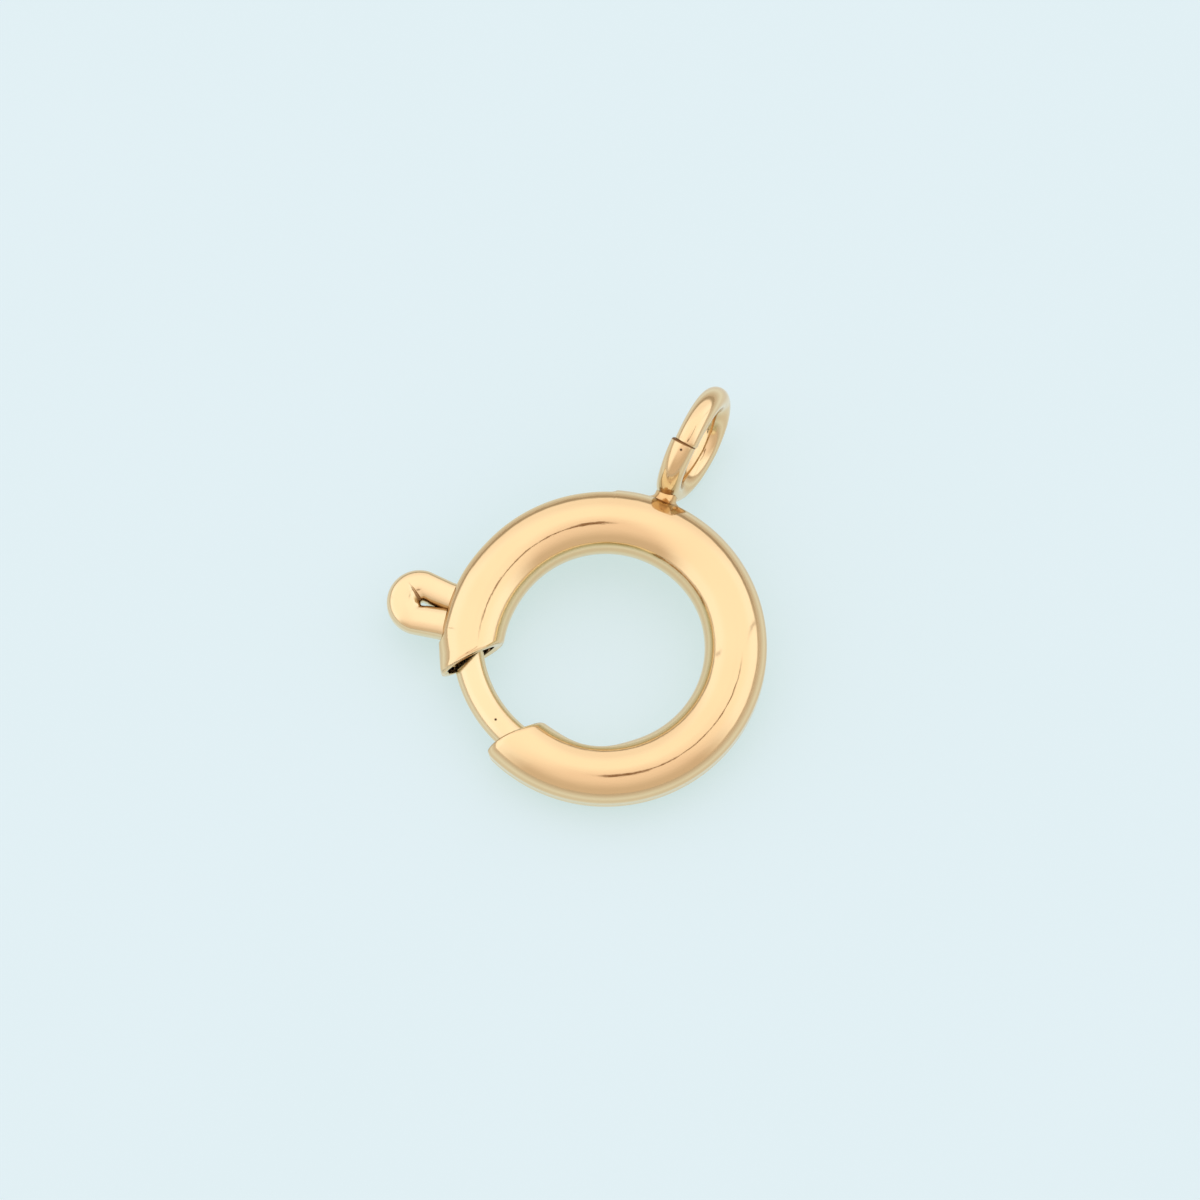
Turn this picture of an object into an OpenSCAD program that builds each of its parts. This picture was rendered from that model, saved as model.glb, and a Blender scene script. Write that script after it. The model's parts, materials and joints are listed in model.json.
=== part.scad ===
// Round spring ring clasp in gilded brass, lying as it rests on a table.
// A thin tube is bent to a ring with a gap. A wire bolt slides in the tube and closes the gap. The
// bolt's other end is bent out through a slot as the trigger, and a coil spring in the tube pushes
// it shut. The eye that takes the chain is soldered to the outside of the ring.
// Millimetres and degrees. Angles run counter-clockwise from +X, seen from the front of the ring.
// The origin is the ring's centre, the eye is at +Y, and the ring leans back on its eye.

/* [Ring] */
// Diameter over the outside of the ring
ring_od = 12; // [11.9:0.05:12.2]
// Outer diameter of the tube
tube_d = 2.35; // [2.3:0.01:2.4]
// Thickness of the tube's wall
tube_wall = 0.2; // [0.17:0.01:0.21]
// Angle from which the arm with the trigger is bent open
arm_from = 153.3; // [150:0.1:156]
// Bend radius of the opened arm, along its middle
arm_r = 5.45; // [5.3:0.05:5.55]

/* [Gap] */
// Direction in which the gap's face on the trigger's arm runs outwards
upper_face_turn = 228; // [226:0.1:230]
// Distance of that face from the ring's centre, across the face
upper_face = -1.77; // [-1.9:0.01:-1.7]
// Direction in which the gap's face on the other arm runs outwards
lower_face_turn = 232.6; // [230:0.1:235]
// Distance of that face from the ring's centre, across the face
lower_face = 1.2; // [1.1:0.01:1.3]

/* [Trigger slot] */
// Height of the slot in the outer wall
slot_h = 1.25; // [1.25:0.01:1.4]
// Angle of the slot's end near the eye
slot_from = 107.2; // [104:0.1:112]
// Angle of the slot's end near the gap, where the trigger rests
slot_to = 199.8; // [199.7:0.1:200.5]

/* [Crimp] */
// Angle of the crimp that the spring bears on
crimp_at = 283.4; // [281:0.1:285]
// Radius of the crimp's hollow in the inner wall
crimp_r = 2.16; // [2:0.01:2.4]
// Depth of the crimp
crimp_depth = 0.2; // [0.15:0.01:0.22]

/* [Eye] */
// Diameter over the outside of the eye
eye_od = 4.7; // [4.5:0.05:4.8]
// Diameter of the eye's wire
eye_wire_d = 0.92; // [0.85:0.01:1]
// Angle by which the eye leans about the line from the ring's centre
eye_lean = 5; // [0:0.5:8]
// Angle by which the eye is bent sideways at its foot
eye_turn = 7; // [0:0.5:9]
// Clear height of the solder between the ring and the eye
neck_h = 0.08; // [0.05:0.01:0.15]
// Diameter of the solder neck
neck_d = 0.8; // [0.7:0.01:0.82]
// Diameter of the solder's foot on the ring
foot_d = 1.24; // [1.1:0.01:1.3]

/* [Bolt and trigger] */
// Diameter of the bolt's wire
bolt_d = 1.15; // [1.05:0.01:1.17]
// Distance of the bolt's bend centre from the ring's centre
bolt_shift = 0.4; // [0.35:0.01:0.42]
// Direction of the bolt's bend centre from the ring's centre
bolt_shift_at = 156.3; // [154:0.1:158]
// Angle at which the bolt's nose ends in the lower arm
nose_at = 255.7; // [253:0.1:258]
// Length of the nose's bevel
nose_l = 0.25; // [0.15:0.01:0.4]
// Angle of the trigger's round end
trigger_at = 187.3; // [187.1:0.1:187.5]
// Distance from the ring's centre to the trigger's tip
trigger_reach = 8.31; // [8.15:0.01:8.5]
// Angle by which the trigger's legs lean towards the eye
trigger_lean = 3.2; // [2.8:0.1:3.6]
// Angle between the trigger's two legs
trigger_spread = 4; // [3:0.1:4.2]
// Radius of the wire's three tight bends, along its middle
bend_r = 0.62; // [0.61:0.01:0.65]
// Angle at which the tail ends inside the spring
tail_to = 163; // [158:0.1:166]

/* [Spring] */
// Outer diameter of the coil
spring_od = 1.85; // [1.7:0.01:1.85]
// Diameter of the spring's wire
spring_wire_d = 0.2; // [0.15:0.01:0.2]
// Number of turns
spring_turns = 26; // [20:1:30]
// Angle at which the spring starts, on the trigger's inner leg
spring_from = 174; // [173:0.1:174.3]
// Angle at which the spring ends, on the crimp
spring_to = -55.5; // [-56:0.1:-52]

/* [Hidden] */
$fn = 72;
ring_r = (ring_od - tube_d) / 2;
bore_d = tube_d - 2 * tube_wall;
// Both ends of the bent tube lie in the gap, which trims them
tube_from = -122;
tube_to = 213;
// The bore runs this much further than the tube, so that their ends never share a face
past = 1;
arm_c = polar(ring_r - arm_r, arm_from);
// Where two bars follow each other, one runs this far into the other, which is this much thicker
joint_sink = 0.05;
joint_step = 0.01;
joint_turn = joint_sink / ring_r * 180 / PI;
// The gap's cut runs between these distances from the ring's centre
gap_from = 2;
gap_to = 8;
slot_inner = ring_r + 0.3 * bore_d;
crimp_c = polar(ring_r - tube_d / 2 + crimp_depth - crimp_r, crimp_at);
eye_r = (eye_od - eye_wire_d) / 2;
eye_y = ring_od / 2 + neck_h + eye_od / 2 * cos(eye_turn);
// The solder's foot starts this far under the tube's outside, where the round tube has fallen away
foot_sink = 0.3;
foot_h = 0.28;
// The ring lies on its own lower edge and on the eye's lowest point
rest_tilt = asin((eye_r * cos(eye_lean) + eye_wire_d / 2 - tube_d / 2) / (ring_r + eye_y));
bolt_c = polar(bolt_shift, bolt_shift_at);
hairpin_c = polar(trigger_reach - bolt_d / 2 - bend_r, trigger_at);
in_dir = trigger_at - trigger_lean - trigger_spread / 2;
out_dir = trigger_at - trigger_lean + trigger_spread / 2;
// Where the trigger's two legs leave its round end, and the middles of the bends at their feet
in_top = hairpin_c + polar(bend_r, in_dir - 90);
out_top = hairpin_c + polar(bend_r, out_dir + 90);
in_bend = bend_middle(in_top, in_dir, in_dir - 90, [0, 0]);
out_bend = bend_middle(out_top, out_dir, out_dir + 90, bolt_c);
in_foot = in_bend - polar(bend_r, in_dir - 90);
out_foot = out_bend - polar(bend_r, out_dir + 90);
in_arc_at = heading([0, 0], in_bend);
out_arc_at = heading(bolt_c, out_bend);
nose_turn = heading(bolt_c, on_arc(bolt_c, nose_at));
// The nose's bevel starts this far inside the bar, and its flat tip has this share of its diameter
nose_sink = 0.04;
nose_tip = 0.7;
spring_sides = 6;
spring_steps = 10;
spring_n = spring_turns * spring_steps;
coil_r = (spring_od - spring_wire_d) / 2;

// A point at a distance and an angle from the ring's centre
function polar(r, a) = [r * cos(a), r * sin(a)];

// The direction from one point to another
function heading(from, to) = atan2(to[1] - from[1], to[0] - from[0]);

// The point at angle a, seen from the ring's centre, of the arc with the ring's radius about c
function on_arc(c, a) =
    let (along = c * polar(1, a), across = c * polar(1, a + 90))
    polar(along + sqrt(ring_r * ring_r - across * across), a);

// The middle of the bend that joins a leg through p, which points along leg_dir, to the arc about c
// The bend lies on the leg's side that side_dir names, outside the arc
function bend_middle(p, leg_dir, side_dir, c) =
    let (g = p + polar(bend_r, side_dir) - c, along = g * polar(1, leg_dir), reach = ring_r + bend_r)
    p + polar(bend_r, side_dir) + polar(sqrt(along * along - g * g + reach * reach) - along, leg_dir);

module lying() {
    rotate([rest_tilt, 0, 0]) children();
}

// A round bar of diameter d, bent about c with radius r between two angles
module bent_bar(d, r, from, to, c = [0, 0]) {
    translate([c[0], c[1], 0])
        rotate_extrude(angle = (to - from + 360) % 360, start = from)
            translate([r, 0]) circle(d = d);
}

// A straight round bar between two bends, which it runs into
module straight_bar(d, from, to) {
    translate([from[0], from[1], 0])
        rotate([0, 90, heading(from, to)])
            translate([0, 0, -joint_sink])
                cylinder(d = d, h = norm(to - from) + 2 * joint_sink);
}

// The ring's bent bar, round once and with the opened arm
module ring_bar(d, extra) {
    bent_bar(d, ring_r, tube_from - extra, arm_from + joint_turn);
    bent_bar(d + joint_step, arm_r, arm_from, tube_to + extra, arm_c);
}

// An upright cylinder that presses the crimp into the inner wall
module crimp_punch(r) {
    translate([crimp_c[0], crimp_c[1], -tube_d]) cylinder(r = r, h = 2 * tube_d);
}

// A point at a distance along one of the gap's faces
function on_face(turn, across, along) = polar(across, turn + 90) + polar(along, turn);

module gap() {
    translate([0, 0, -tube_d])
        linear_extrude(2 * tube_d)
            polygon([
                on_face(upper_face_turn, upper_face, gap_from),
                on_face(upper_face_turn, upper_face, gap_to),
                on_face(lower_face_turn, lower_face, gap_to),
                on_face(lower_face_turn, lower_face, gap_from)
            ]);
}

module trigger_slot() {
    rotate_extrude(angle = slot_to - slot_from, start = slot_from)
        translate([slot_inner, -slot_h / 2]) square([tube_d, slot_h]);
}

module eye() {
    translate([0, ring_od / 2 + neck_h, 0])
        rotate([0, 0, -eye_turn])
            translate([0, eye_od / 2, 0])
                rotate([0, 90 - eye_lean, 0])
                    rotate_extrude() translate([eye_r, 0]) circle(d = eye_wire_d);
}

// Solder that has run between the ring and the eye
module solder() {
    translate([0, ring_od / 2 - foot_sink, 0])
        rotate([-90, 0, 0]) {
            cylinder(d1 = foot_d, d2 = neck_d, h = foot_sink + foot_h);
            cylinder(d = neck_d, h = foot_sink + neck_h + eye_wire_d / 2);
        }
}

module ring_and_eye() {
    color([0.93, 0.71, 0.40])
        lying()
            difference() {
                union() {
                    ring_bar(tube_d, 0);
                    eye();
                    solder();
                }
                difference() {
                    ring_bar(bore_d, past);
                    crimp_punch(crimp_r + tube_wall);
                }
                crimp_punch(crimp_r);
                gap();
                trigger_slot();
            }
}

module bolt() {
    bend_d = bolt_d + joint_step;
    nose = bolt_c + polar(ring_r, nose_turn);
    color([0.97, 0.79, 0.48])
        lying() {
            bent_bar(bolt_d, ring_r, tail_to, in_arc_at + joint_turn);
            bent_bar(bend_d, bend_r, in_dir + 90, in_arc_at + 180, in_bend);
            straight_bar(bolt_d, in_foot, in_top);
            bent_bar(bend_d, bend_r, in_dir - 90, out_dir + 90, hairpin_c);
            straight_bar(bolt_d, out_top, out_foot);
            bent_bar(bend_d, bend_r, out_arc_at - 180, out_dir - 90, out_bend);
            bent_bar(bolt_d, ring_r, out_arc_at - joint_turn, nose_turn, bolt_c);
            translate([nose[0], nose[1], 0])
                rotate([0, 90, nose_turn + 90])
                    translate([0, 0, -nose_sink])
                        cylinder(d1 = bolt_d - nose_sink, d2 = nose_tip * bolt_d, h = nose_sink + nose_l);
        }
}

// One turn after another of the spring's wire, wound about the tube's middle line
function coil_out(i) =
    let (a = spring_from + (spring_to - spring_from) * i / spring_n, turn = 360 * i / spring_steps)
    [cos(turn) * cos(a), cos(turn) * sin(a), sin(turn)];
function coil_point(i) =
    let (a = spring_from + (spring_to - spring_from) * i / spring_n)
    ring_r * [cos(a), sin(a), 0] + coil_r * coil_out(i);
function coil_side(i) =
    let (s = cross(coil_point(i + 0.5) - coil_point(i - 0.5), coil_out(i)))
    s / norm(s);

module return_spring() {
    points = [
        for (i = [0 : spring_n], k = [0 : spring_sides - 1])
            let (t = 360 * k / spring_sides)
            coil_point(i) + spring_wire_d / 2 * (cos(t) * coil_out(i) + sin(t) * coil_side(i))
    ];
    walls = [
        for (i = [0 : spring_n - 1], k = [0 : spring_sides - 1])
            let (a = i * spring_sides + k, b = i * spring_sides + (k + 1) % spring_sides)
            [a, b, b + spring_sides, a + spring_sides]
    ];
    first_end = [for (k = [spring_sides - 1 : -1 : 0]) k];
    last_end = [for (k = [0 : spring_sides - 1]) spring_n * spring_sides + k];
    color([0.72, 0.73, 0.75])
        lying()
            polyhedron(points, concat([first_end], walls, [last_end]), convexity = 10);
}

ring_and_eye();
bolt();
return_spring();
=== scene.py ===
# A round spring ring clasp in gilded brass, lying on a pale blue table.
# Sizes are in millimetres and angles in degrees in the clasp's own plane, where the ring's centre is the
# origin and the eye is at +Y, until lay_down turns them into metres as the clasp lies on the table.
import json
import math
from types import SimpleNamespace

import bpy
import numpy as np
from mathutils import Matrix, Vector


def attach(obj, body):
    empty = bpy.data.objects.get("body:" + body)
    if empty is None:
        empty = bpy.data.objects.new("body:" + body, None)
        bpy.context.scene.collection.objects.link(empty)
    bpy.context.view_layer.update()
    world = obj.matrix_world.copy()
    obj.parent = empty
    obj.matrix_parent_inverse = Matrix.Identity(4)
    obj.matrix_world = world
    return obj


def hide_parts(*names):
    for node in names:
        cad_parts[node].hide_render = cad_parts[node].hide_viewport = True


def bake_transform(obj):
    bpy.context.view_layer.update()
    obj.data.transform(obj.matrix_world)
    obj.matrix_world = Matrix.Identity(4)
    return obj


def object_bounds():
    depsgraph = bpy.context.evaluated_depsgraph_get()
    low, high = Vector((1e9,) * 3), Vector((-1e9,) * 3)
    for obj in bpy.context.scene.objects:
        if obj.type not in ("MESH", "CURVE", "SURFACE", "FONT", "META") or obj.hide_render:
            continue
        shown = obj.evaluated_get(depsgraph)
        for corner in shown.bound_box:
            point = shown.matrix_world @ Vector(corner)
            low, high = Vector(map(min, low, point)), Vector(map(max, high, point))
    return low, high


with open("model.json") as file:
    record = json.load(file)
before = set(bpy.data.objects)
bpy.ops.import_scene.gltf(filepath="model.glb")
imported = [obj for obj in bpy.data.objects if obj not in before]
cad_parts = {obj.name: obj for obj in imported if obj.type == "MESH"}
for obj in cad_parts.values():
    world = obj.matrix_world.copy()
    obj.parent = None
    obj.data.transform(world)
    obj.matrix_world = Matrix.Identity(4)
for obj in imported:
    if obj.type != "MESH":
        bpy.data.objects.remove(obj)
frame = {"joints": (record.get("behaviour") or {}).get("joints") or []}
cad_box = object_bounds()


# The ring is a thin brass tube, bent round and sawn open at the gap, then gilded and polished bright.
# A slot in its outer wall, with lips that stand out a little, lets the trigger travel, and a round punch
# has pressed a crimp into the inner wall, where the spring bears.
MM = 0.001
RING_R, TUBE_R, BORE_R = 4.825, 1.175, 0.975
# From ARM_FROM round to the gap, the upper arm is bent a little wider than the rest
ARM_FROM, ARM_BEND = 153.3, 5.45
# The direction each sawn face looks in, and how far it lies past its arm's middle
UPPER_FACE_TURN, UPPER_FACE = 228.0, -1.77
LOWER_FACE_TURN, LOWER_FACE = 232.6, 1.2
UPPER_FACE_SLANT, LOWER_FACE_BOW, BOW_AT = 0.08, 0.13, 50.0
# The stretches of wall whose columns of points end on a sawn face
LOWER_STRETCH_FROM, LOWER_STRETCH_TO, UPPER_STRETCH_FROM = -115.0, -90.0, 170.0
SLOT_FROM, SLOT_TO, SLOT_H, SLOT_CORNER = 107.2, 199.8, 1.25, 0.25
CRIMP_AT, CRIMP_R, CRIMP_DEPTH, CRIMP_SOFT, CRIMP_FADE = 283.4 - 360, 2.16, 0.22, 0.05, 1.0
# How far the slot's lips stand out, and how far the end past the slot is pressed in, by angle
LIP_FADES_AT = 105.0
LIP_ANGLES = (104.0, 120.0, 135.0, 160.0, 171.0, 182.0, 192.0, 195.0, 200.0)
LIP_FLARES = (0.0, 0.0, 0.02, 0.06, 0.1, 0.1, 0.1, 0.06, -0.04)
END_ANGLES, END_FLARES = (194.0, 199.5, 203.0, 205.0, 207.0), (-0.05, -0.045, -0.085, -0.11, -0.15)
SWELL, SWELL_FROM, SWELL_FULL = 0.05, 35.0, 80.0
# The sawn edges are filed outside and burnished inside, most where the bolt rubs
RIM_ROUNDING, LIP_ROUNDING = 0.07, 0.055
FILED_EDGE, BURNISHED_EDGE, BURNISHED_AT, BURNISHED_MORE, EDGE_WIDTH = 0.09, 0.14, -110.0, 0.8, 0.22
# The gilding thins out inside the bore, between these depths past a sawn face, and turns dull and dark
# brown there: partly bare brass and partly painted shade in the bore
DULL_FROM, DULL_FULL = 0.15, 0.8
# The dark brown that marked places turn to is bare brass darkened with painted shade
BRASS_IN_SHADE, PIT_DARK = (0.30, 0.15, 0.06, 1), (0.05, 0.02, 0.008, 1)
PINHOLE_R = 0.065
LEAN = math.asin(frame["joints"][0]["axis"][1])


def cosd(a):
    return np.cos(np.radians(a))


def sind(a):
    return np.sin(np.radians(a))


def polar(r, a):
    return np.array([r * cosd(a), r * sind(a)])


ARM_MIDDLE = polar(RING_R - ARM_BEND, ARM_FROM)
CRIMP_MIDDLE = polar(RING_R - TUBE_R + CRIMP_DEPTH - CRIMP_R, CRIMP_AT)


def lay_down(points):
    """The clasp's own millimetres as metres on the table, where the ring leans back on its eye."""
    x, y, z = np.asarray(points, float).reshape(-1, 3).T
    c, s = math.cos(LEAN), math.sin(LEAN)
    return np.stack([x, y * c - z * s, y * s + z * c], -1) * MM


def make_piece(name, points, faces):
    mesh = bpy.data.meshes.new(name)
    mesh.from_pydata(lay_down(points).tolist(), [], faces)
    mesh.validate()
    mesh.shade_smooth()
    piece = bpy.data.objects.new(name, mesh)
    bpy.context.scene.collection.objects.link(piece)
    return piece


def settle(piece):
    """Turns the piece's modifiers into plain mesh."""
    shaped = piece.evaluated_get(bpy.context.evaluated_depsgraph_get())
    mesh = bpy.data.meshes.new_from_object(shaped)
    piece.modifiers.clear()
    piece.data = mesh
    mesh.shade_smooth()


def mark_dull_and_shade(piece, shares):
    """Stores how dull and darkened each point is, from 0 for polished gilding to 1 for dark brass, whose
    darkness is painted shade.
    """
    dull_and_shade = piece.data.attributes.new("dull_and_shade", "FLOAT", "POINT")
    dull_and_shade.data.foreach_set("value", shares)


def ease(x):
    """0 below 0, 1 above 1 and smooth between."""
    t = np.clip(x, 0.0, 1.0)
    return t * t * (3 - 2 * t)


def gap_end(turn, across, v, r, bend, middle):
    """The angle at which the tube's line at v round it ends on one of the gap's sawn faces."""
    side = polar(1.0, turn + 90)
    return turn + 90 - np.degrees(np.arccos((across - side @ middle) / (bend + r * cosd(v))))


def upper_end(r, v):
    """The upper sawn face slants back a little on the far side."""
    across = UPPER_FACE - UPPER_FACE_SLANT * (1 - sind(v)) / 2
    return gap_end(UPPER_FACE_TURN, across, v, r, ARM_BEND, ARM_MIDDLE)


def lower_end(r, v):
    """The lower sawn face bows out on its outer near side."""
    across = LOWER_FACE - LOWER_FACE_BOW * np.maximum(cosd(v - BOW_AT), 0) ** 2
    return gap_end(LOWER_FACE_TURN, across, v, r, RING_R, np.zeros(2)) - 360


# Where the slot and the arm end, as angles about the arm's own middle
SLOT_END = gap_end(SLOT_TO, 0, 0, TUBE_R, ARM_BEND, ARM_MIDDLE)
ARM_END = upper_end(TUBE_R, 0)


def flare(a, off_lip, edge):
    """How far the wall stands out along the slot's lips, and is pressed in past the slot's end."""
    lip, end = np.interp(a, LIP_ANGLES, LIP_FLARES), np.interp(a, END_ANGLES, END_FLARES)
    beside = lip * ease((LIP_FADES_AT - off_lip) / (LIP_FADES_AT - edge))
    return np.where(off_lip < edge, end + (lip - end) * ease(off_lip / edge), beside)


def press_crimp(points, r):
    """Pushes the points of the wall of radius r out of the way of the punch."""
    from_punch = points[..., :2] - CRIMP_MIDDLE
    d = np.linalg.norm(from_punch, axis=-1, keepdims=True)
    pressed = d - (CRIMP_R + TUBE_R - r)
    pushed = 0.5 * (np.sqrt(pressed**2 + CRIMP_SOFT**2) - pressed)
    points[..., :2] += from_punch / d * np.where(d < CRIMP_R + CRIMP_FADE, pushed, 0)
    return points


def tube_wall(r):
    """Columns of points on the tube's wall of radius r, from the lower sawn face round to the upper one.

    With them come how dull and darkened each point is (painted shade in the bore), which columns have the
    slot, and how many rows it takes.
    """
    low_end, eye_side, trigger_side, before_slot_end, past_slot = 40, 330, 106, 50, 22
    slot_rows, wall_rows, crowding, tolerance = 12, 54, 1.3, 1e-6
    to_slot_end = (SLOT_END - UPPER_STRETCH_FROM) / (ARM_END - UPPER_STRETCH_FROM)
    stations = (
        [("low", t) for t in np.linspace(0, 1, low_end + 1)[:-1] ** crowding]
        + [("ring", a) for a in np.linspace(LOWER_STRETCH_TO, SLOT_FROM, eye_side)]
        + [("ring", a) for a in np.linspace(SLOT_FROM, UPPER_STRETCH_FROM, trigger_side)[1:]]
        + [("up", t) for t in np.linspace(0, to_slot_end, before_slot_end)[1:]]
        + [("up", t) for t in np.linspace(to_slot_end, 1, past_slot)[1:]]
    )
    columns, slotted, dull_and_shade = [], [], []
    for kind, t in stations:
        along = {
            "low": LOWER_STRETCH_FROM + (LOWER_STRETCH_TO - LOWER_STRETCH_FROM) * t,
            "ring": t,
            "up": UPPER_STRETCH_FROM + (ARM_END - UPPER_STRETCH_FROM) * t,
        }[kind]
        from_end = min(along - SLOT_FROM, SLOT_END - along) * math.radians(RING_R + TUBE_R)
        into_corner = min(max(SLOT_CORNER - from_end, 0), SLOT_CORNER)
        half = SLOT_H / 2 - SLOT_CORNER + math.sqrt(SLOT_CORNER**2 - into_corner**2)
        edge = math.degrees(math.asin(half / r))
        in_slot = np.linspace(-edge, edge, slot_rows + 1)[:-1]
        v = np.concatenate([in_slot, np.linspace(edge, 360 - edge, wall_rows + 1)[:-1]])
        from_face = np.full(len(v), math.inf)
        if kind == "low":
            end = lower_end(r, v)
            a = end + (LOWER_STRETCH_TO - end) * t
            from_face = np.radians(a - end) * RING_R
        elif kind == "ring":
            a = np.full(len(v), t)
        else:
            end = upper_end(r, v)
            a = UPPER_STRETCH_FROM + (end - UPPER_STRETCH_FROM) * t
            from_face = np.radians(end - a) * ARM_BEND
        burnished = BURNISHED_EDGE * (1 + BURNISHED_MORE * cosd(v - BURNISHED_AT))
        worn = (FILED_EDGE if r == TUBE_R else burnished) * np.maximum(1 - from_face / EDGE_WIDTH, 0) ** 2
        opened = a > ARM_FROM
        off_lip = np.abs((v + 180) % 360 - 180)
        swell = SWELL * (1 - cosd(v)) / 2 * ease((a - SWELL_FROM) / (SWELL_FULL - SWELL_FROM))
        out = np.where(opened, ARM_BEND, RING_R) + (r - worn) * cosd(v) + flare(a, off_lip, edge) - swell
        x = out * cosd(a) + np.where(opened, ARM_MIDDLE[0], 0)
        y = out * sind(a) + np.where(opened, ARM_MIDDLE[1], 0)
        columns.append(np.stack([x, y, (r - worn) * sind(v)], -1))
        dull_and_shade.append(ease((from_face - DULL_FROM) / (DULL_FULL - DULL_FROM)) * (r == BORE_R))
        slotted.append(SLOT_FROM - tolerance < along and (kind != "up" or t < to_slot_end - tolerance))
    return press_crimp(np.array(columns), r), np.ravel(dull_and_shade), slotted, slot_rows


def make_tube():
    outer, bright, slotted, slot_rows = tube_wall(TUBE_R)
    bore, dull_and_shade = tube_wall(BORE_R)[:2]
    count, rows = outer.shape[:2]
    kept = {(i, j) for i in range(count - 1) for j in range(rows) if not (slotted[i] and j < slot_rows)}

    def corner(i, j, wall):
        return (wall * count + i) * rows + j % rows

    faces, rims = [], {}
    for i, j in sorted(kept):
        quad = [(i, j), (i + 1, j), (i + 1, j + 1), (i, j + 1)]
        faces.append([corner(a, b, 0) for a, b in quad])
        faces.append([corner(a, b, 1) for a, b in reversed(quad)])
        beside = [(i, (j - 1) % rows), (i + 1, j), (i, (j + 1) % rows), (i - 1, j)]
        for k, neighbour in enumerate(beside):
            if neighbour not in kept:
                a, b = quad[k], quad[(k + 1) % 4]
                faces.append([corner(*b, 0), corner(*a, 0), corner(*a, 1), corner(*b, 1)])
                share = 1.0 if neighbour[0] in (-1, count - 1) else LIP_ROUNDING / RIM_ROUNDING
                for wall in (0, 1):
                    rims[frozenset((corner(*a, wall), corner(*b, wall)))] = share
    points = np.concatenate([outer.reshape(-1, 3), bore.reshape(-1, 3)])
    used = sorted({c for f in faces for c in f})
    place = {c: k for k, c in enumerate(used)}
    tube = make_piece("ring_tube", points[used], [[place[c] for c in f] for f in faces])
    mark_dull_and_shade(tube, np.concatenate([bright, dull_and_shade])[used])
    weight = tube.data.attributes.new("bevel_weight_edge", "FLOAT", "EDGE")
    named = {frozenset(place[c] for c in edge): share for edge, share in rims.items()}
    weight.data.foreach_set("value", [named.get(frozenset(e.vertices), 0.0) for e in tube.data.edges])
    rounding = tube.modifiers.new("rounded rims", "BEVEL")
    rounding.limit_method = "WEIGHT"
    rounding.width = RIM_ROUNDING * MM
    rounding.segments = 4
    rounding.use_clamp_overlap = False
    settle(tube)
    return tube


def socket_of(tree, in_out, name, kind, value=None):
    made = tree.interface.new_socket(name, in_out=in_out, socket_type="NodeSocket" + kind)
    if value is not None:
        made.default_value = value
    return made


def node_tools(tree):
    """Functions that each add one node, fed with values or other nodes' outputs, and give its output."""
    nodes, links = tree.nodes, tree.links

    def feed(sockets, values):
        for socket, value in zip(sockets, values):
            if isinstance(value, bpy.types.NodeSocket):
                links.new(value, socket)
            else:
                socket.default_value = value

    def maths(operation, *values):
        node = nodes.new("ShaderNodeMath")
        node.operation = operation
        feed(node.inputs, values)
        return node.outputs["Value"]

    def vector(operation, *values):
        node = nodes.new("ShaderNodeVectorMath")
        node.operation = operation
        feed((node.inputs[0], node.inputs["Scale"]) if operation == "SCALE" else node.inputs, values)
        return node.outputs["Value" if operation in ("LENGTH", "DISTANCE") else "Vector"]

    def spread(value, start, end, low=0.0, high=1.0, way="LINEAR"):
        node = nodes.new("ShaderNodeMapRange")
        node.interpolation_type = way
        names = ("Value", "From Min", "From Max", "To Min", "To Max")
        feed([node.inputs[name] for name in names], (value, start, end, low, high))
        return node.outputs["Result"]

    def mix(share, first, second, blend="MIX"):
        node = nodes.new("ShaderNodeMix")
        node.data_type = "RGBA"
        node.blend_type = blend
        feed((node.inputs["Factor"], node.inputs[6], node.inputs[7]), (share, first, second))
        return node.outputs[2]

    def noise(place, scale, detail=2.0, roughness=0.5):
        node = nodes.new("ShaderNodeTexNoise")
        names = ("Vector", "Scale", "Detail", "Roughness")
        feed([node.inputs[name] for name in names], (place, scale, detail, roughness))
        return node.outputs["Fac"]

    return SimpleNamespace(maths=maths, vector=vector, spread=spread, mix=mix, noise=noise)


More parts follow.
